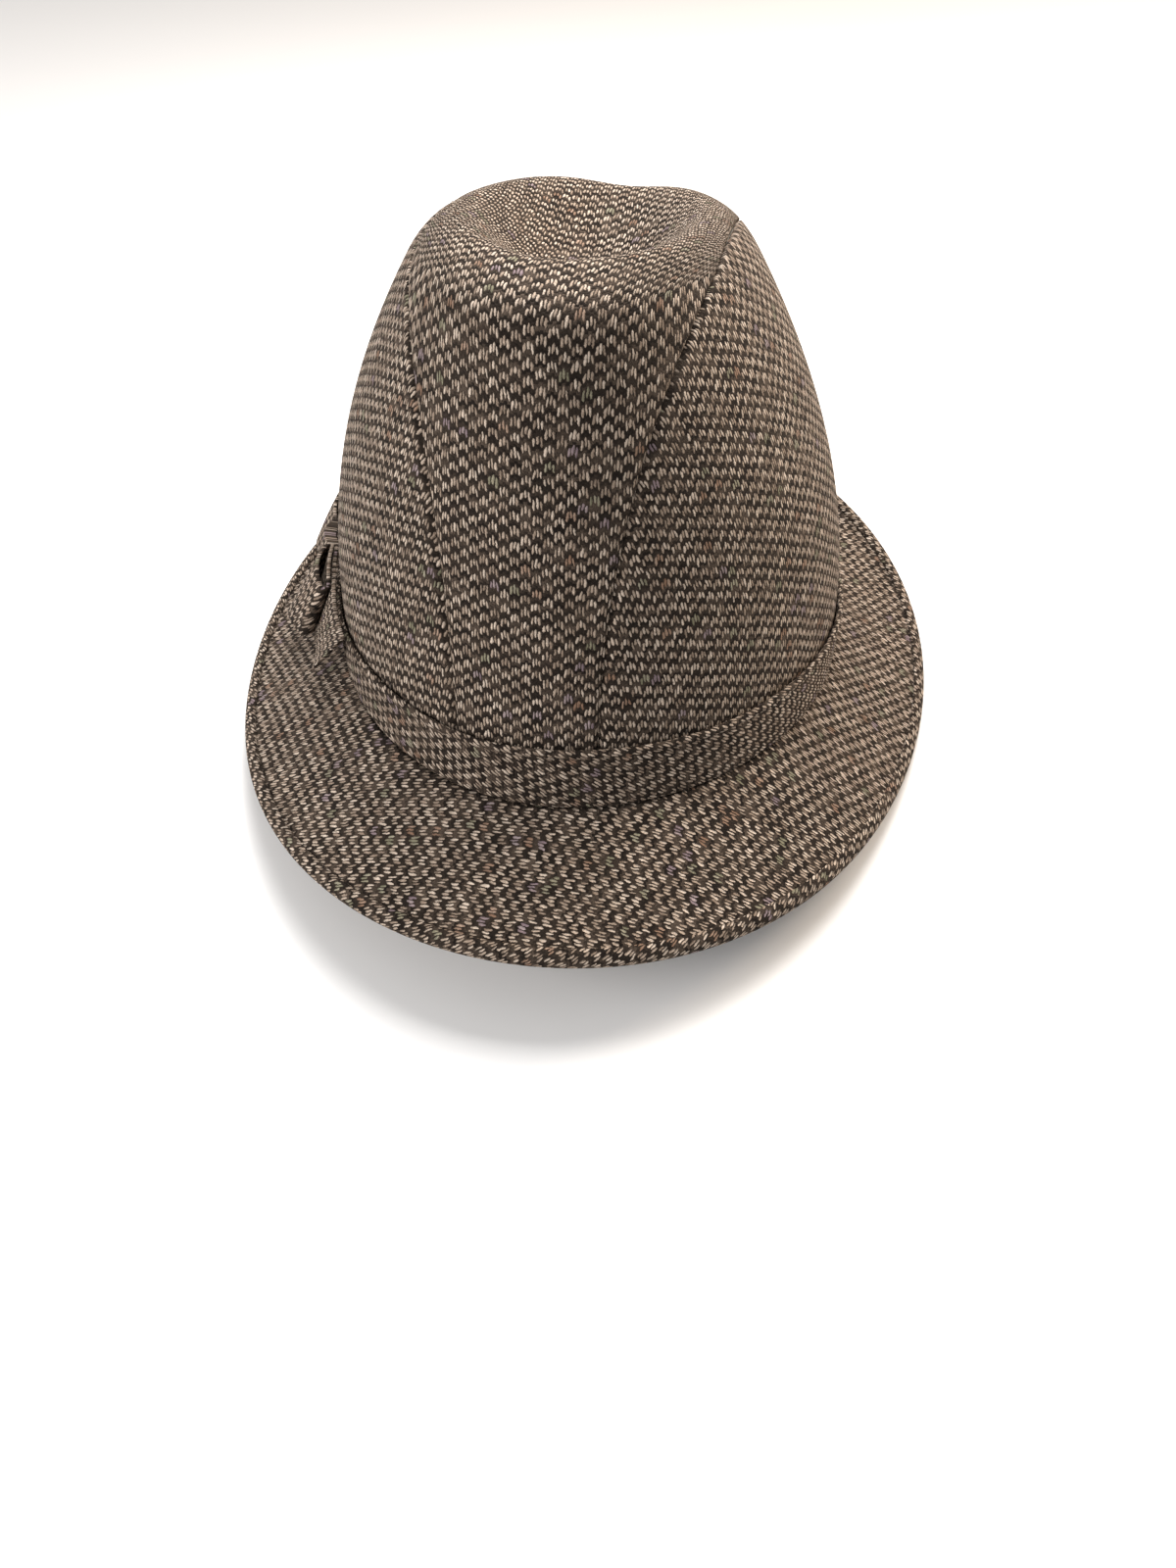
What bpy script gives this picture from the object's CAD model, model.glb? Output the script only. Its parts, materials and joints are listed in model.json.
import json
import math

import bpy
import numpy as np
from mathutils import Matrix, Vector


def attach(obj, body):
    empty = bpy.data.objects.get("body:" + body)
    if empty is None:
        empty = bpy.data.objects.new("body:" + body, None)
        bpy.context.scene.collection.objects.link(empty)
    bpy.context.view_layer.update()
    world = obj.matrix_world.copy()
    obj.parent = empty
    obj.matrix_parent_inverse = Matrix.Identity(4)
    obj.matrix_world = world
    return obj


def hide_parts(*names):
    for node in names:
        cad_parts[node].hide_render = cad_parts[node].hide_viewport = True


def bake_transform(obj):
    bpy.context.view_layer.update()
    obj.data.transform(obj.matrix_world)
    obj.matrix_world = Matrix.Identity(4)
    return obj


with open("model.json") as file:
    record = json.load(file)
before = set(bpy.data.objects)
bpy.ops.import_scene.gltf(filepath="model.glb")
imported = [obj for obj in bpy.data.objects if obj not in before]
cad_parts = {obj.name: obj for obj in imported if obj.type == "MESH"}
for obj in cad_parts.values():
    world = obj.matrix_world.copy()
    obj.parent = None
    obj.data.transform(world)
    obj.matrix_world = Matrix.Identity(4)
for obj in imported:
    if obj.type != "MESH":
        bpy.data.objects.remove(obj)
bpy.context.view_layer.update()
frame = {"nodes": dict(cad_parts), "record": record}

# ---------------------------------------------------------------- sizes in millimetres
# The hat's own frame: z = 0 is the break line, -Y the front, +X the wearer's left.
# Three values in a row are at the front, the side and the back.
BASE_LONG, BASE_WIDE, EGG = 99.5, 84.0, 0.06    # half length and width at the break line
TOP_LONG, TOP_WIDE = 79.5, 45.0                 # and at the shoulder
TOP_BACK, TOP_LEAN, LEAN_EARLY = 6.5, -7.0, 0.6
BULGE = (0.0, 1.35, 0.7)
CROWN_HIGH = (134.5, 133.5, 125.0)
REAR_PINCH, PINCH_SPREAD = 4.0, 0.45            # spread in radians
SHOULDER_RISE, SHOULDER_IN = 5.0, 0.28
DENT, DENT_EDGE, DENT_RUN = 18.0, 0.80, 0.62
SEAM_FRONT, SEAM_TOP, SEAM_CURVE = 21.0, 41.0, 2.5
WALL_RUN = 129.0                                # length of the crown wall, foot to shoulder
PANEL_FOOT = -0.02                              # the panels start this share of it lower
SHOULDER_SOFT, SHOULDER_RUN = 4.5, 24.0         # how far the shoulder is smoothed
GROOVE_DEEP, GROOVE_WIDE = 1.25, 1.1            # the crown's seams, pressed in
CONE = 300.0                                    # the side panels' grain is that of a cone this high
GRAIN_DRIFT = 0.05                              # slant of the centre panel's rows
CROWN_CLOTH, INTERLINING, LINING = 1.2, 0.5, 0.4
INTERLINING_IN, LINING_IN = -1.35, -2.0

BRIM_WIDTH = (46.5, 42.1, 37.8)
BRIM_SLOPE = (-27.0, -27.7, 37.5)
BRIM_TWIST, BRIM_LIFT = -2.8, 4.4
BRIM_START = 0.9
BRIM_THICK = 3.0
BRIM_HEM = 1.2                                  # the plies stop this far short of the edge
BINDING_REACH, BINDING_THICK, BINDING_CLEAR = 5.0, 0.9, 0.12

BAND_HIGH = 17.5
SWEAT_OUT, SWEAT_IN, SWEAT_LOW, SWEAT_HIGH = -3.3, -4.3, -2.0, 30.0
REED_RADIUS = 0.9
MOUNT_LOWER = 4.0                               # head_opening lies this far below the break line

# The bow's angles are degrees round from the front, minus towards -X.
BOW_CLOTH, LOOP_CLOTH, KNOT_CLOTH = 1.3, 1.2, 4.4
BOW_START, BOW_LEAN, BOW_SPREAD, BOW_CLIMB = 2.2, 8.0, 12.0, 3.5
KNOT_ANGLE, KNOT_HALF, KNOT_TOP, KNOT_FACE = -90.0, 4.2, 18.6, 6.2
TAIL_ANGLES, TAIL_TOP, TAIL_CUT, TAIL_FLARE = (-54.0, -113.0), 18.0, 6.0, 2.5
LOOP_ANGLES, LOOP_BULGE = (-72.0, -108.0), (7.5, 2.5)     # bulge at foot and top
LOOP_FOOT, LOOP_HIGH = 2.0, 16.4
BOW_FOOT = 1.8                                  # foot of the tail and the knot

record = frame["record"]
opening = next(m for m in record["mounts"] if m["name"] == "head_opening")
snap = next(j for j in record["behaviour"]["joints"] if j["name"] == "brim_snap")
UP = -Vector(opening["axis"]).normalized()
ACROSS = -Vector(snap["axis"]).normalized()
BACK = UP.cross(ACROSS)
ORIGIN = Vector(opening["pos_m"]) + UP * (MOUNT_LOWER / 1000)
TURN = np.array([ACROSS, BACK, UP])


def to_row(points):
    """Millimetres in the hat's own frame to metres in the row's frame."""
    return np.asarray(points) @ TURN / 1000 + np.array(ORIGIN)


# ---------------------------------------------------------------- shape of the hat
def mix_round(values, c):
    """Front, side and back values blended by c, the cosine of the angle round the hat."""
    front, side, back = values
    return side + (front - back) / 2 * c + ((front + back) / 2 - side) * c * c


def wall_height(c, r=1.0):
    behind = np.arccos(np.clip(-c, -1, 1))
    pinch = REAR_PINCH * r * r * np.exp(-(behind / PINCH_SPREAD) ** 2)
    return mix_round(CROWN_HIGH, c * r) - SHOULDER_RISE - pinch


def lean(t):
    return TOP_LEAN * t * (1 + LEAN_EARLY * (1 - t))


def wall(theta, t, off=0.0):
    """Crown wall: t = 0 at the break line, 1 at the shoulder."""
    k = t - mix_round(BULGE, np.cos(theta)) * t * (1 - t)
    long = BASE_LONG + (TOP_LONG - BASE_LONG) * k + off
    wide = BASE_WIDE + (TOP_WIDE - BASE_WIDE) * k + off
    x = wide * np.sin(theta) * (1 - EGG * (1 - t) * np.cos(theta)) + lean(t)
    y = -long * np.cos(theta) + TOP_BACK * t
    z = (wall_height(np.cos(theta)) + off) * t
    return np.stack(np.broadcast_arrays(x, y, z), -1)


def wall_at(theta, z, off=0.0):
    """Point on the crown wall at height z."""
    return wall(theta, z / (wall_height(np.cos(theta)) + off), off)


def crown_top(theta, r, off=0.0):
    """Top of the crown: r = 1 at the shoulder, 0 in the middle of the dent."""
    x = TOP_LEAN + (TOP_WIDE + off) * r * np.sin(theta)
    y = TOP_BACK - (TOP_LONG + off) * r * np.cos(theta)
    rise = SHOULDER_RISE * np.sin(np.clip((1 - r) / SHOULDER_IN, 0, 1) * np.pi / 2)
    dish = DENT * (0.5 - 0.5 * np.cos(np.pi * np.clip((DENT_EDGE - r) / DENT_RUN, 0, 1)))
    z = wall_height(np.cos(theta), r) + off + rise - dish
    return np.stack(np.broadcast_arrays(x, y, z), -1)


def top_reach(theta):
    """From the middle of the top out to the shoulder, seen from above."""
    return np.hypot(TOP_WIDE * np.sin(theta), TOP_LONG * np.cos(theta))


def crown_sharp(theta, s, off):
    """The crown by distance from the shoulder: s < 0 down the wall, s > 0 in over the top."""
    on_wall = wall(theta, 1 + np.minimum(s, 0) / WALL_RUN, off)
    on_top = crown_top(theta, np.maximum(1 - np.maximum(s, 0) / top_reach(theta), 0), off)
    return np.where((s < 0)[..., None], on_wall, on_top)


def crown(theta, s, off):
    """The crown with its shoulder rounded: each point is a mean over a short run of s."""
    theta, s = np.broadcast_arrays(theta, s)
    spread = SHOULDER_SOFT * np.cos(np.clip(s / SHOULDER_RUN, -1, 1) * np.pi / 2) ** 2
    steps = np.linspace(-2, 2, 13)
    weights = np.exp(-steps ** 2 / 2)
    near = [w * crown_sharp(theta, s + k * spread, off) for k, w in zip(steps, weights)]
    return sum(near) / weights.sum()


def over_top(theta, r, off):
    """The rounded crown where it goes over the top: r as in crown_top."""
    return crown(theta, (1 - r) * top_reach(theta), off)


def seam_half(t):
    """Half width of the centre panel at share t of the wall's height."""
    return SEAM_FRONT + (SEAM_TOP - SEAM_FRONT) * np.clip(t, 0, 1) ** SEAM_CURVE


def seam_angle(t, share, end=1):
    """Angle, from the front (end = 1) or the back (-1), of a point share of the way to the seam."""
    angle = 0.0 * t
    for _ in range(12):
        c = end * np.cos(angle)
        k = t - mix_round(BULGE, c) * t * (1 - t)
        wide = (BASE_WIDE + (TOP_WIDE - BASE_WIDE) * k) * (1 - EGG * (1 - t) * c)
        angle = np.arcsin(np.clip(share * seam_half(t) / wide, -1, 1))
    return angle


def base_normal(theta):
    """Outward direction of the break line."""
    ahead, behind = wall(theta + 1e-4, 0.0), wall(theta - 1e-4, 0.0)
    d = (ahead - behind)[..., :2]
    d = d / np.linalg.norm(d, axis=-1, keepdims=True)
    return d[..., 1], -d[..., 0]


def brim_slope(theta):
    c, s = np.cos(theta), np.sin(theta)
    return np.radians(mix_round(BRIM_SLOPE, c) + BRIM_TWIST * s + BRIM_LIFT * c * s * s)


def brim(theta, along, off=0.0):
    """Brim: along the cloth from the break line, off above its top face."""
    base = wall(theta, 0.0)
    nx, ny = base_normal(theta)
    slope = brim_slope(theta)
    out = BRIM_START + along * np.cos(slope) - off * np.sin(slope)
    z = along * np.sin(slope) + off * np.cos(slope)
    return np.stack(np.broadcast_arrays(base[..., 0] + nx * out, base[..., 1] + ny * out, z), -1)


def brim_wide(theta):
    return mix_round(BRIM_WIDTH, np.cos(theta))


# ---------------------------------------------------------------- meshes
def arc_length(points, axis):
    """Running length along one axis of a grid of points."""
    step = np.linalg.norm(np.diff(points, axis=axis), axis=-1)
    shape = list(step.shape)
    shape[axis] = 1
    return np.concatenate([np.zeros(shape), np.cumsum(step, axis=axis)], axis=axis)


def centred(length, axis):
    """The same running length, counted from the middle."""
    return length - np.take(length, [length.shape[axis] // 2], axis=axis)


def make_object(name, verts, faces, uvs):
    mesh = bpy.data.meshes.new(name)
    mesh.from_pydata([tuple(v) for v in verts], [], [tuple(f) for f in faces])
    mesh.validate()
    layer = mesh.uv_layers.new(name="cloth")
    index = np.zeros(len(mesh.loops), np.int32)
    mesh.loops.foreach_get("vertex_index", index)
    layer.data.foreach_set("uv", np.asarray(uvs, np.float32)[index].ravel())
    mesh.shade_smooth()
    piece = bpy.data.objects.new(name, mesh)
    bpy.context.scene.collection.objects.link(piece)
    return piece


def grid_faces(rows, cols, start, flip):
    faces = []
    for i in range(rows - 1):
        for j in range(cols - 1):
            a = start + i * cols + j
            quad = [a, a + 1, a + cols + 1, a + cols]
            faces.append(quad[::-1] if flip else quad)
    return faces


def grid_normals(points):
    n = np.cross(np.gradient(points, axis=1), np.gradient(points, axis=0))
    return n / np.maximum(np.linalg.norm(n, axis=-1, keepdims=True), 1e-9)


def sheet_piece(name, outer, inner, uv, flip=False):
    """An open sheet with thickness: outer and inner grids joined round their border."""
    rows, cols = outer.shape[:2]
    verts = np.concatenate([outer.reshape(-1, 3), inner.reshape(-1, 3)])
    uvs = np.concatenate([uv.reshape(-1, 2), uv.reshape(-1, 2)])
    n = rows * cols
    faces = grid_faces(rows, cols, 0, flip) + grid_faces(rows, cols, n, not flip)
    border = list(range(cols))
    border += [i * cols + cols - 1 for i in range(1, rows)]
    border += [(rows - 1) * cols + j for j in range(cols - 2, -1, -1)]
    border += [i * cols for i in range(rows - 2, 0, -1)]
    for a, b in zip(border, border[1:] + border[:1]):
        quad = [a, a + n, b + n, b]
        faces.append(quad[::-1] if flip else quad)
    return make_object(name, to_row(verts), faces, uvs)


def ring_piece(name, loops, uv):
    """A closed band: the section's points run round once, every column goes round the hat."""
    rows, cols = loops.shape[:2]
    faces = []
    for i in range(rows):
        here, after = i * cols, (i + 1) % rows * cols
        for j in range(cols - 1):
            faces.append([here + j, here + j + 1, after + j + 1, after + j])
    return make_object(name, to_row(loops.reshape(-1, 3)), faces, uv.reshape(-1, 2))


def spread_to_edges(count, power=1.6):
    """Shares from -1 to 1, closer together near the ends, where the seams are."""
    s = np.linspace(-1, 1, count)
    return np.sign(s) * (1 - (1 - np.abs(s)) ** power)


def centre_panel(off):
    """Grid from the front foot over the top to the back foot, seam to seam."""
    share = spread_to_edges(61)
    up = np.linspace(PANEL_FOOT, 1, 100, endpoint=False)
    rows = [crown(seam_angle(t, share), (t - 1) * WALL_RUN, off) for t in up]
    x = share * SEAM_TOP / TOP_WIDE
    for s in np.linspace(-1, 1, 141):
        y = s * np.sqrt(1 - x ** 2)
        rows.append(over_top(np.arctan2(x, -y), np.hypot(x, y), off))
    rows += [crown(np.pi - seam_angle(t, share, -1), (t - 1) * WALL_RUN, off) for t in up[::-1]]
    points = np.array(rows)
    across = centred(arc_length(points, 1), 1)
    middle = points.shape[1] // 2
    along = centred(arc_length(points, 0), 0)[:, [middle]] + GRAIN_DRIFT * across
    to_seam = across[:, -1:] - np.abs(across)
    return points, grid_normals(points), across, along, to_seam


def side_panel(side, off):
    """Grid from the foot up to the seam; columns run from the front seam to the back seam."""
    s = (spread_to_edges(150, 1.25) + 1) / 2
    rows = []
    for t in np.linspace(PANEL_FOOT, 1, 110):
        front = seam_angle(t, 1.0)
        back = np.pi - seam_angle(t, 1.0, -1)
        rows.append(crown(side * (front + (back - front) * s), (t - 1) * WALL_RUN, off))
    low = SEAM_TOP / TOP_WIDE
    for r in np.linspace(1, low, 12)[1:]:
        front = math.asin(min(1.0, low / r))
        rows.append(over_top(side * (front + (np.pi - 2 * front) * s), r, off))
    points = np.array(rows)
    across = centred(arc_length(points, 1), 1)
    along = arc_length(points, 0)[:, points.shape[1] // 2][:, None] + 0 * across
    half = np.abs(across[:, [0]]) * (across < 0) + np.abs(across[:, [-1]]) * (across >= 0)
    to_seam = np.minimum(half - np.abs(across), along[-1:, :] - along)
    swing = across / (CONE - along)
    u = side * (CONE - along) * np.sin(swing)
    v = CONE - (CONE - along) * np.cos(swing)
    return points, side * grid_normals(points), u, v, to_seam


def crown_pieces(layer, off, thick, groove, material):
    """One layer of the crown: a piece for each of its three panels."""
    for panel in ("centre", "left", "right"):
        if panel == "centre":
            points, normal, u, v, to_seam = centre_panel(off)
        else:
            points, normal, u, v, to_seam = side_panel(1 if panel == "left" else -1, off)
        sunk = -groove * np.exp(-(to_seam / GROOVE_WIDE) ** 2)[..., None]
        outer = points + normal * sunk
        inner = points + normal * (sunk - thick)
        uv = np.stack([u, v], -1)
        piece = sheet_piece(f"{layer}_{panel}", outer, inner, uv, flip=panel == "right")
        node = f"{layer}_{panel}_panel"
        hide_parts(node)
        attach(piece, "hat")
        piece.data.materials.append(material[panel])


# ---------------------------------------------------------------- materials
class Tree:
    """A short way to write shader maths."""

    def __init__(self, name):
        self.material = bpy.data.materials.new(name)
        self.material.use_nodes = True
        self.nodes = self.material.node_tree.nodes
        self.links = self.material.node_tree.links
        self.shader = self.nodes["Principled BSDF"]

    def put(self, socket, value):
        if isinstance(value, bpy.types.NodeSocket):
            self.links.new(value, socket)
        else:
            socket.default_value = value

    def math(self, operation, a, b=None, c=None, clamp=False):
        node = self.nodes.new("ShaderNodeMath")
        node.operation = operation
        node.use_clamp = clamp
        for socket, value in zip(node.inputs, (a, b, c)):
            if value is not None:
                self.put(socket, value)
        return node.outputs[0]

    def uv(self):
        node = self.nodes.new("ShaderNodeUVMap")
        node.uv_map = "cloth"
        split = self.nodes.new("ShaderNodeSeparateXYZ")
        self.links.new(node.outputs[0], split.inputs[0])
        return split.outputs[0], split.outputs[1]           # millimetres on the cloth

    def join(self, x, y, z=0.0):
        node = self.nodes.new("ShaderNodeCombineXYZ")
        for socket, value in zip(node.inputs, (x, y, z)):
            self.put(socket, value)
        return node.outputs[0]

    def noise(self, vector, scale, detail=2.0, rough=0.5):
        node = self.nodes.new("ShaderNodeTexNoise")
        self.links.new(vector, node.inputs["Vector"])
        node.inputs["Scale"].default_value = scale
        node.inputs["Detail"].default_value = detail
        node.inputs["Roughness"].default_value = rough
        return node.outputs[0]

    def random(self, vector):
        node = self.nodes.new("ShaderNodeTexWhiteNoise")
        self.links.new(vector, node.inputs["Vector"])
        return node.outputs["Value"]

    def ramp(self, value, stops):
        node = self.nodes.new("ShaderNodeValToRGB")
        ramp = node.color_ramp
        while len(ramp.elements) < len(stops):
            ramp.elements.new(0.5)
        for element, (place, colour) in zip(ramp.elements, stops):
            element.position = place
            element.color = (*colour, 1)
        self.links.new(value, node.inputs[0])
        return node.outputs[0]

    def mix(self, share, a, b):
        node = self.nodes.new("ShaderNodeMix")
        node.data_type = "RGBA"
        self.put(node.inputs[0], share)
        for socket, value in ((node.inputs[6], a), (node.inputs[7], b)):
            self.put(socket, value if isinstance(value, bpy.types.NodeSocket) else (*value, 1))
        return node.outputs[2]

    def bump(self, height, distance, strength=1.0):
        node = self.nodes.new("ShaderNodeBump")
        node.inputs["Strength"].default_value = strength
        node.inputs["Distance"].default_value = distance
        self.links.new(height, node.inputs["Height"])
        self.links.new(node.outputs[0], self.shader.inputs["Normal"])


def turned(tree, u, v, degrees):
    """The cloth's u and v, turned by an angle to set how the yarns lie."""
    c, s = math.cos(math.radians(degrees)), math.sin(math.radians(degrees))
    a = tree.math("ADD", tree.math("MULTIPLY", u, c), tree.math("MULTIPLY", v, s))
    b = tree.math("SUBTRACT", tree.math("MULTIPLY", v, c), tree.math("MULTIPLY", u, s))
    return a, b


GROUP = 2.9           # from one three of yarns to the next (mm)
YARN = 0.92           # from one yarn to the next in a three
REPEAT = 3.9          # length after which the weave repeats along a yarn
WAVER = ((0.12, 1.3), (0.8, 0.5), (2.1, 0.34))    # how yarns wander: noise scale, distance
TWEED_COLOURS = [
    (0.00, (0.10, 0.070, 0.052)),
    (0.25, (0.25, 0.185, 0.14)),
    (0.55, (0.49, 0.39, 0.31)),
    (1.00, (0.88, 0.76, 0.65)),
]
GROUND_COLOURS = [
    (0.25, (0.008, 0.006, 0.005)),
    (0.55, (0.035, 0.026, 0.020)),
    (0.95, (0.20, 0.15, 0.115)),
]
FLECKS = [(0.24, 0.12, 0.07), (0.16, 0.18, 0.11), (0.19, 0.14, 0.20)]


def tweed(name, degrees, seed):
    """Woven tweed: threes of light yarn floats, the middle one a step ahead, on dark ground."""
    t = Tree(name)
    u0, v0 = t.uv()
    at = t.join(u0, v0, seed)
    swapped = t.join(v0, u0, seed + 7)
    u, v = turned(t, u0, v0, degrees)
    for scale, push in WAVER:
        u = t.math("MULTIPLY_ADD", t.math("SUBTRACT", t.noise(at, scale, 1), 0.5), push, u)
        v = t.math("MULTIPLY_ADD", t.math("SUBTRACT", t.noise(swapped, scale, 1), 0.5), push, v)

    # Which yarn of which three this is, and which of its floats.
    cu = t.math("DIVIDE", u, GROUP)
    group = t.math("FLOOR", cu)
    in_group = t.math("MULTIPLY", t.math("SUBTRACT", t.math("FRACT", cu), 0.5), GROUP / YARN)
    third = t.math("MAXIMUM", t.math("MINIMUM", t.math("ROUND", in_group), 1.0), -1.0)
    column = t.math("MULTIPLY_ADD", group, 3.0, third)
    middle = t.math("COMPARE", third, 0.0, 0.4)
    swap = t.math("FLOORED_MODULO", group, 2.0)
    shift = t.math("ADD", t.math("MULTIPLY", middle, -0.15), t.math("MULTIPLY", swap, 0.5))
    own = t.random(t.join(column, swap, seed + 9))
    shift = t.math("MULTIPLY_ADD", own, 0.06, shift)
    cv = t.math("ADD", t.math("DIVIDE", v, REPEAT), shift)
    row = t.math("FLOOR", cv)
    fy = t.math("SUBTRACT", t.math("FRACT", cv), 0.5)

    # One float: a rounded lens, each with its own lean, length and width.
    tone_pick = t.random(t.join(column, row, seed))
    length_pick = t.random(t.join(row, column, seed + 3))
    width_pick = t.random(t.join(row, column, seed + 17))
    fan = t.math("MULTIPLY", third, -0.3)
    lean_in = t.math("MULTIPLY_ADD", t.math("SUBTRACT", width_pick, 0.5), 0.8, fan)
    fx = t.math("SUBTRACT", t.math("SUBTRACT", in_group, third), t.math("MULTIPLY", lean_in, fy))
    length = t.math("MULTIPLY_ADD", length_pick, 0.11, 0.25)
    width = t.math("MULTIPLY_ADD", width_pick, 0.14, 0.33)
    dx = t.math("POWER", t.math("ABSOLUTE", t.math("DIVIDE", fx, width)), 2.0)
    dy = t.math("POWER", t.math("ABSOLUTE", t.math("DIVIDE", fy, length)), 2.4)
    lens = t.math("SUBTRACT", 1.0, t.math("ADD", dx, dy), clamp=True)
    float_height = t.math("POWER", lens, 0.6)

    # The dark yarns that cross between the floats.
    cross = t.math("ABSOLUTE", t.math("SINE", t.math("MULTIPLY", cv, math.pi * 4)))
    ground_row = t.math("FLOOR", t.math("MULTIPLY", cv, 4.0))
    ground_pick = t.random(t.join(ground_row, group, seed + 5))
    round_yarn = t.math("COSINE", t.math("MULTIPLY", fx, math.pi * 0.7))
    ground = t.math("MULTIPLY", t.math("MULTIPLY", cross, 0.30), round_yarn)

    # Fibres: fine streaks, twisted a little across each yarn.
    streak_u = t.math("MULTIPLY_ADD", u, 6.0, t.math("MULTIPLY", v, 2.0))
    streaks = t.noise(t.join(streak_u, t.math("MULTIPLY", v, 0.9), seed), 1.0, 3, 0.7)
    fuzz = t.noise(at, 2.6, 4, 0.75)

    height = t.math("MAXIMUM", float_height, ground)
    height = t.math("MULTIPLY_ADD", t.math("SUBTRACT", streaks, 0.5), 0.45, height)

    tone = t.math("ADD", t.math("MULTIPLY", tone_pick, 0.45), t.math("MULTIPLY", streaks, 1.1))
    light = t.ramp(t.math("SUBTRACT", tone, 0.28, clamp=True), TWEED_COLOURS)
    fleck_pick = t.random(t.join(group, row, seed + 11))
    for i, colour in enumerate(FLECKS):
        here = t.math("COMPARE", fleck_pick, 0.1 + 0.3 * i, 0.012)
        light = t.mix(t.math("MULTIPLY", here, 0.6), light, colour)
    dark_streaks = t.math("MULTIPLY", streaks, 0.62)
    dark_tone = t.math("ADD", t.math("MULTIPLY", ground_pick, 0.35), dark_streaks)
    dark = t.ramp(dark_tone, GROUND_COLOURS)
    cover = t.math("MULTIPLY", float_height, 1.8, clamp=True)
    colour = t.mix(cover, dark, light)
    patches = t.noise(at, 0.05, 2)
    shade = t.math("ADD", t.math("MULTIPLY_ADD", fuzz, 0.9, 0.40), t.math("MULTIPLY", patches, 0.3))
    hsv = t.nodes.new("ShaderNodeHueSaturation")
    t.put(hsv.inputs["Value"], shade)
    t.put(hsv.inputs["Color"], colour)
    t.links.new(hsv.outputs[0], t.shader.inputs["Base Color"])
    t.put(t.shader.inputs["Roughness"], t.math("MULTIPLY_ADD", fuzz, 0.2, 0.78))
    t.shader.inputs["Specular IOR Level"].default_value = 0.08
    t.shader.inputs["Sheen Weight"].default_value = 0.04
    t.shader.inputs["Sheen Tint"].default_value = (0.6, 0.48, 0.38, 1)
    t.shader.inputs["Sheen Roughness"].default_value = 0.5
    t.bump(height, 0.0007, 1.0)
    return t.material


def plain_cloth(name, colour, pitch, rough):
    """A fine plain weave, for lining, interlining and reed."""
    t = Tree(name)
    u, v = t.uv()
    a = t.math("SINE", t.math("MULTIPLY", u, 2 * math.pi / pitch))
    b = t.math("SINE", t.math("MULTIPLY", v, 2 * math.pi / pitch))
    weave = t.math("MULTIPLY", a, b)
    cloud = t.noise(t.join(u, v), 0.08, 4)
    tone = t.math("ADD", t.math("MULTIPLY", weave, 0.12), t.math("MULTIPLY", cloud, 0.7), clamp=True)
    dark = tuple(c * 0.65 for c in colour)
    pale = tuple(min(1, c * 1.25) for c in colour)
    t.links.new(t.ramp(tone, [(0.1, dark), (0.7, pale)]), t.shader.inputs["Base Color"])
    uneven = t.math("MULTIPLY", cloud, 0.16)
    t.put(t.shader.inputs["Roughness"], t.math("ADD", rough - 0.08, uneven))
    t.bump(weave, 0.00008, 0.6)
    return t.material


def thread_cord(name):
    """Twisted thread, for the stitches that are shown as they are in the CAD."""
    t = Tree(name)
    place = t.nodes.new("ShaderNodeTexCoord")
    twist = t.nodes.new("ShaderNodeTexWave")
    twist.inputs["Scale"].default_value = 900
    twist.inputs["Distortion"].default_value = 2
    t.links.new(place.outputs["Object"], twist.inputs["Vector"])
    colours = [(0.0, (0.012, 0.009, 0.007)), (1.0, (0.06, 0.045, 0.035))]
    t.links.new(t.ramp(twist.outputs["Fac"], colours), t.shader.inputs["Base Color"])
    t.put(t.shader.inputs["Roughness"], t.math("MULTIPLY_ADD", twist.outputs["Fac"], 0.2, 0.6))
    t.bump(twist.outputs["Fac"], 0.0001, 0.8)
    return t.material


def leather(name):
    """Brown leather with a fine grain, a little shinier where it is worn."""
    t = Tree(name)
    u, v = t.uv()
    at = t.join(u, v)
    cell = t.nodes.new("ShaderNodeTexVoronoi")
    cell.feature = "DISTANCE_TO_EDGE"
    cell.inputs["Scale"].default_value = 1.5
    t.links.new(at, cell.inputs["Vector"])
    grain = t.math("MULTIPLY", cell.outputs[0], 2.2, clamp=True)
    wear = t.noise(at, 0.06, 5, 0.6)
    tone = t.math("ADD", t.math("MULTIPLY", grain, 0.25), t.math("MULTIPLY", wear, 0.75))
    colours = [(0.2, (0.045, 0.022, 0.012)), (0.6, (0.11, 0.055, 0.03)), (0.95, (0.2, 0.11, 0.06))]
    t.links.new(t.ramp(tone, colours), t.shader.inputs["Base Color"])
    t.put(t.shader.inputs["Roughness"], t.math("ADD", 0.38, t.math("MULTIPLY", wear, 0.25)))
    t.bump(grain, 0.00012, 0.5)
    return t.material


# ---------------------------------------------------------------- brim, band, bow, inside
def round_angles():
    return np.linspace(-np.pi, np.pi, 361)


def section_ring(name, section):
    """A ring; section is a list of functions of the angle, going once round the section."""
    theta = round_angles()
    loops = np.array([corner(theta) for corner in section])
    run = arc_length(loops[len(loops) // 4][None], 1)[0]
    across = arc_length(loops, 0)
    return ring_piece(name, loops, np.stack([across, np.broadcast_to(run, across.shape)], -1))


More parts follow.
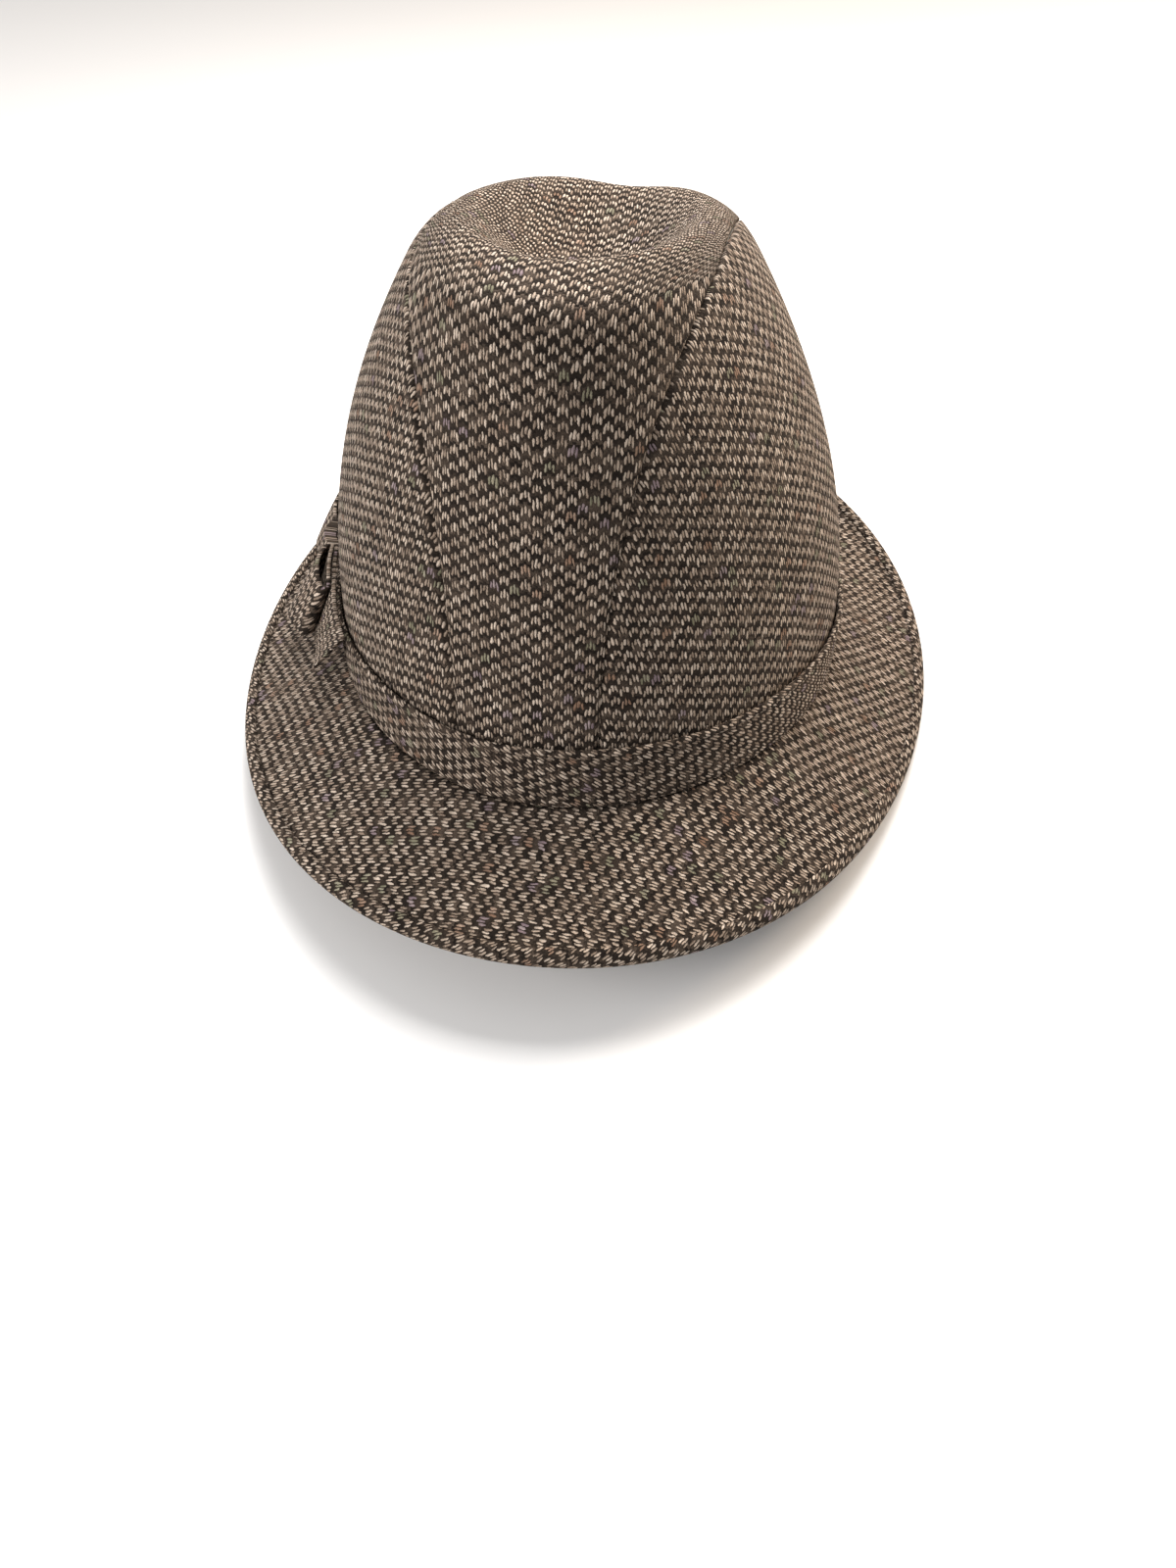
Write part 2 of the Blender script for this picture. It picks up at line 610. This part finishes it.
def brim_sheet(name, top, bottom):
    """One ply of the brim; its weave runs straight across the hat, as cut from flat cloth."""
    theta = round_angles()
    along = np.linspace(0, 1, 28)[:, None] * (brim_wide(theta) - BRIM_HEM)
    outer = brim(theta[None], along, top)
    inner = brim(theta[None], along, bottom)
    # the inner edge stands upright beside the crown wall
    base = brim(theta, 0.0, 0.0)
    for grid, off in ((outer, top), (inner, bottom)):
        grid[0] = base
        grid[0][:, 2] = off / np.cos(brim_slope(theta))
    loops = np.concatenate([outer, inner[::-1]])
    v = loops[..., 1] / np.cos(brim_slope(theta)) ** 0.5
    return ring_piece(name, loops, np.stack([loops[..., 0], v], -1))


def brim_pieces(cloth, canvas, binding_cloth):
    """The plies and the binding, each one piece round the hat that bends at the snap line."""
    plies = {
        "brim_top_cloth": (0.0, -1.1, cloth),
        "brim_interlining": (-1.25, -1.75, canvas),
        "brim_under_cloth": (-1.9, -BRIM_THICK, cloth),
    }
    for name, (top, bottom, material) in plies.items():
        piece = brim_sheet(name, top, bottom)
        piece.data.materials.append(material)
        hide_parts(name + "_rear", name + "_front")
        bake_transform(piece)
    piece = edge_binding()
    piece.data.materials.append(binding_cloth)
    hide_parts("edge_binding_rear", "edge_binding_front")
    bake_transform(piece)


def edge_binding():
    """Cloth folded over the brim's edge: a rounded hairpin section."""
    reach, clear = BINDING_REACH, BINDING_CLEAR
    top, under = clear + BINDING_THICK, -BRIM_THICK - clear
    bottom = under - BINDING_THICK
    mid, half = (top + bottom) / 2, (top - bottom) / 2
    round_deep = half * 0.8
    # Each point: how far in from the brim's edge, how far above its top face.
    outline = [(reach - 0.1, clear - 0.3), (reach + 0.1, clear + 0.5), (reach - 0.4, top + 0.05)]
    outline += [(reach - 1.4, top + 0.35), (reach - 2.6, top + 0.25)]
    for angle in np.linspace(np.pi / 2, -np.pi / 2, 13):
        outline.append((round_deep * (1 - math.cos(angle)), mid + half * math.sin(angle)))
    outline += [(reach - 2.6, bottom + 0.02), (reach - 1.6, bottom)]
    outline += [(reach - 0.6, bottom + 0.12), (reach + 0.1, under - 0.45)]
    outline += [(reach + 0.3, under + 0.15), (reach - 1, under + 0.1)]
    outline += [(1.1, under), (0.95, mid), (1.1, clear), (reach - 1, clear - 0.1)]
    section = [lambda a, b=b, o=o: brim(a, brim_wide(a) - b, o) for b, o in outline]
    return section_ring("edge_binding", section)


def hat_band(cloth):
    """The band stands on the brim; its top edge is rolled over and wavers a little."""
    def at(z, off, from_foot=False):
        def point(a):
            foot = 0.1 + np.maximum(0, np.tan(brim_slope(a)))
            waver = 0.35 * np.sin(3 * a + 1) + 0.2 * np.sin(7 * a)
            height = foot + z if from_foot else z + waver
            return wall_at(a, height, off + 0.2 * np.sin(5 * a + 2))
        return point

    roll = [(-2.3, 1.7), (-1.8, 2.1), (-1.1, 2.45), (-0.4, 2.4)]
    roll += [(0.2, 1.9), (0.3, 1.3), (-0.1, 0.8), (-1.1, 0.55)]
    section = [at(0.0, 0.3, True), at(0.0, 1.2, True), at(0.7, 1.75, True), at(2.2, 1.95, True)]
    section += [at(z, 1.95) for z in (5, 8, 11, 14)]
    section += [at(BAND_HIGH + up, off) for up, off in roll]
    section += [at(z, 0.5) for z in (12, 8, 4)]
    piece = section_ring("hat_band", section)
    piece.data.materials.append(cloth)
    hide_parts("hat_band")
    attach(piece, "hat")


def bow_at(theta, z, v, off):
    """Point in the bow: it leans on the crown, its rear end runs straight on and its top climbs."""
    degrees = np.abs(np.degrees(theta))
    stand = BOW_START + BOW_LEAN * (1 - v) + BOW_SPREAD * (np.maximum(0, degrees - 70) / 40) ** 2
    climb = BOW_CLIMB * v * np.maximum(0, degrees - 60) / 45
    return wall_at(theta, z + climb, stand + off)


def strip(name, angles, low, high, outer_at, thick, cloth, cut=0.0):
    """A strip of the bow's cloth; outer_at(u, v) is how far its face stands off the bow's back."""
    u, v = np.meshgrid(np.linspace(0, 1, 40), np.linspace(0, 1, 14))
    start = np.radians(angles[0] - cut * (1 - v))
    end = math.radians(angles[1])
    theta = start + (end - start) * u
    z = low + (high - low) * v
    outer = bow_at(theta, z, v, outer_at(u, v))
    inner = bow_at(theta, z, v, outer_at(u, v) - thick)
    mesh_uv = np.stack([centred(arc_length(outer, 1), 1), arc_length(outer, 0)], -1)
    piece = sheet_piece(name, outer, inner, mesh_uv, flip=True)
    bevel = piece.modifiers.new("soft_edge", "BEVEL")
    bevel.width = 0.0004
    bevel.segments = 3
    bevel.limit_method = "ANGLE"
    piece.data.materials.append(cloth)
    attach(piece, "hat")
    return piece


def bow_pieces(cloth):
    """A flat tail leaning on the crown, two folded loops on it and a knot round the middle."""
    def tail_out(u, v):
        flare = TAIL_FLARE * (1 - v) * np.clip(1 - u / 0.13, 0, 1) ** 2
        return BOW_CLOTH + flare + 0.2 * np.sin(9 * u + 2 * v)

    tail = strip("bow_tail", TAIL_ANGLES, BOW_FOOT, TAIL_TOP, tail_out, BOW_CLOTH, cloth, TAIL_CUT)
    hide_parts("bow_tail")

    under_knot = KNOT_HALF + 0.2
    for name, end, side in zip(("bow_front_loop", "bow_rear_loop"), LOOP_ANGLES, (1, -1)):
        knot_end = math.radians(KNOT_ANGLE + side * under_knot)
        piece = loop(name, math.radians(end), knot_end, cloth)
        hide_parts(name)

    def knot_out(u, v):
        return KNOT_FACE - 2.2 * (2 * u - 1) ** 2

    knot = strip("bow_knot", (KNOT_ANGLE + KNOT_HALF, KNOT_ANGLE - KNOT_HALF), BOW_FOOT, KNOT_TOP,
                 knot_out, KNOT_CLOTH, cloth)
    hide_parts("bow_knot")


def loop_out(u, v):
    """How far a loop's outside stands off the bow's back; u runs from its end to the knot."""
    foot, top = LOOP_BULGE
    return 4.5 + (foot + (top - foot) * v) * np.sin(np.pi * (0.12 + 0.88 * u)) ** 0.8


def loop(name, end, knot, cloth):
    """Cloth folded back on itself: out from the knot, round the end and back, top and foot open."""
    v = np.linspace(0, 1, 14)[:, None]
    u_in = np.linspace(1, 0, 26)
    turn = np.linspace(0, 1, 13)[1:-1]
    u_out = np.linspace(0, 1, 40)

    def path(shift):
        """The loop's line, shift outside or inside of the cloth's middle."""
        inner = 2.3 - shift + 0 * u_in + 0 * v
        outer = loop_out(u_out, v) - 0.65 + shift
        low, high = inner[:, -1:], outer[:, :1]
        swing = (low + high) / 2 - (high - low) / 2 * np.cos(np.pi * turn)
        beyond = -(0.03 + 0.035 * (1 + shift)) * np.sin(np.pi * turn)
        share = np.concatenate([u_in, beyond, u_out])
        off = np.concatenate([inner, swing, outer], axis=1)
        theta = end + (knot - end) * share
        z = LOOP_FOOT + 0.4 * np.sin(4 * share) + (LOOP_HIGH - 0.4 * np.cos(5 * share)) * v
        return bow_at(theta + 0 * z, z, v, off)

    outside, inside = path(LOOP_CLOTH / 2), path(-LOOP_CLOTH / 2)
    if end > knot:
        outside, inside = inside, outside
    mesh_uv = np.stack([centred(arc_length(outside, 1), 1), arc_length(outside, 0)], -1)
    piece = sheet_piece(name, outside, inside, mesh_uv, flip=True)
    piece.data.materials.append(cloth)
    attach(piece, "hat")
    return piece


def sweatband(material, cord):
    """The leather band inside the crown, and the reed in its lower edge."""
    def at(z, off):
        return lambda a: wall_at(a, z, off)

    heights = [SWEAT_LOW, 4, 10, 16, 22, 28]
    section = [at(z, SWEAT_IN) for z in heights] + [at(SWEAT_HIGH, (SWEAT_IN + SWEAT_OUT) / 2)]
    section += [at(z, SWEAT_OUT) for z in heights[::-1]]
    piece = section_ring("sweatband", section)
    piece.data.materials.append(material)
    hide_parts("sweatband")
    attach(piece, "hat")
    middle, low = (SWEAT_IN + SWEAT_OUT) / 2, SWEAT_LOW - 0.15 - REED_RADIUS
    turn = [2 * math.pi * i / 10 for i in range(10)]
    reed = section_ring("sweatband_reed", [
        at(low + REED_RADIUS * math.sin(a), middle + REED_RADIUS * math.cos(a)) for a in turn])
    reed.data.materials.append(cord)
    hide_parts("sweatband_reed")
    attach(reed, "hat")


for_panels = {
    "centre": tweed("tweed_centre", 0, 1),
    "left": tweed("tweed_left", 0, 2),
    "right": tweed("tweed_right", 0, 3),
}
canvas = plain_cloth("canvas", (0.62, 0.58, 0.5), 0.5, 0.9)
satin = plain_cloth("satin", (0.035, 0.022, 0.016), 0.3, 0.4)
bias = tweed("tweed_bias", 32, 4)
binding = tweed("tweed_binding", 35, 5)
brim_cloth = tweed("tweed_brim", 90, 6)
hide = leather("leather")
cord = plain_cloth("cord", (0.06, 0.035, 0.02), 0.6, 0.7)
thread = thread_cord("thread")

crown_pieces("crown", 0.0, CROWN_CLOTH, GROOVE_DEEP, for_panels)
in_canvas, in_satin = dict.fromkeys(for_panels, canvas), dict.fromkeys(for_panels, satin)
crown_pieces("crown_interlining", INTERLINING_IN, INTERLINING, 0.0, in_canvas)
crown_pieces("lining", LINING_IN, LINING, 0.0, in_satin)
brim_pieces(brim_cloth, canvas, binding)
hat_band(bias)
bow_pieces(bias)
sweatband(hide, cord)
for node in ("sweatband_stitches", "band_tack_stitches", "bow_tie_stitches"):
    holder = frame["nodes"][node]
    holder.data.materials.clear()
    holder.data.materials.append(thread)


# ---------------------------------------------------------------- stage, light, camera
FLOOR_HALF = 4.0                # metres
FLOOR_COLOUR = (0.9, 0.9, 0.9, 1)
WORLD_LIGHT = 0.45
LIT_POINT = (0, 0, 0.07)        # the lights point at the middle of the hat
LIGHTS = {                      # place (m), size (m), power (W), colour
    "key": ((-0.95, -0.6, 0.45), 0.6, 12, (1.0, 0.96, 0.93)),
    "right": ((0.65, 0.65, 0.45), 0.45, 8, (1.0, 0.80, 0.60)),
    "top": ((0.0, 0.2, 0.52), 0.3, 4.5, (1.0, 0.98, 0.96)),
}
# Camera: distance and offsets in millimetres in the hat's own frame, angles in degrees
CAMERA_FAR, CAMERA_ASIDE, CAMERA_LOWER = 392.4, 0.18, -55.37
CAMERA_HIGH, CAMERA_TURN, CAMERA_ROLL = 40.89, 9.14, 3.12
LENS, SENSOR = 25.1966, 36
LENS_SHIFT = (-0.0025, -0.00686)


def stage():
    mesh = bpy.data.meshes.new("floor")
    s = FLOOR_HALF
    mesh.from_pydata([(-s, -s, 0), (s, -s, 0), (s, s, 0), (-s, s, 0)], [], [(0, 1, 2, 3)])
    floor = bpy.data.objects.new("floor", mesh)
    bpy.context.scene.collection.objects.link(floor)
    t = Tree("floor")
    t.shader.inputs["Base Color"].default_value = FLOOR_COLOUR
    t.shader.inputs["Roughness"].default_value = 0.8
    mesh.materials.append(t.material)
    world = bpy.data.worlds.new("studio")
    world.use_nodes = True
    world.node_tree.nodes["Background"].inputs[0].default_value = (1, 1, 1, 1)
    world.node_tree.nodes["Background"].inputs[1].default_value = WORLD_LIGHT
    bpy.context.scene.world = world
    bpy.context.scene.view_settings.view_transform = "Standard"


def area_light(name, place, size, energy, colour):
    light = bpy.data.lights.new(name, "AREA")
    light.size = size
    light.energy = energy
    light.color = colour
    lamp = bpy.data.objects.new(name, light)
    lamp.location = place
    lamp.rotation_mode = "QUATERNION"
    lamp.rotation_quaternion = (Vector(LIT_POINT) - Vector(place)).to_track_quat("-Z", "Y")
    bpy.context.scene.collection.objects.link(lamp)


def camera():
    high, turn, roll = (math.radians(a) for a in (CAMERA_HIGH, CAMERA_TURN, CAMERA_ROLL))
    level = math.cos(high)
    back = Vector((math.sin(turn) * level, -math.cos(turn) * level, math.sin(high)))
    right = Vector((math.cos(turn), math.sin(turn), 0))
    up = back.cross(right)
    cos_roll, sin_roll = math.cos(roll), math.sin(roll)
    right, up = right * cos_roll + up * sin_roll, up * cos_roll - right * sin_roll
    place = back * CAMERA_FAR + right * CAMERA_ASIDE + up * CAMERA_LOWER
    in_row = Matrix([ACROSS, BACK, UP]).transposed()
    data = bpy.data.cameras.new("camera")
    data.sensor_width = SENSOR
    data.lens = LENS
    data.shift_x, data.shift_y = LENS_SHIFT
    data.clip_start, data.clip_end = 0.01, 20
    cam = bpy.data.objects.new("camera", data)
    axes = Matrix([in_row @ right, in_row @ up, in_row @ back]).transposed()
    cam.matrix_world = Matrix.Translation(ORIGIN + in_row @ place / 1000) @ axes.to_4x4()
    bpy.context.scene.collection.objects.link(cam)
    bpy.context.scene.camera = cam


stage()
for name, setting in LIGHTS.items():
    area_light(name, *setting)
camera()

bpy.context.view_layer.update()
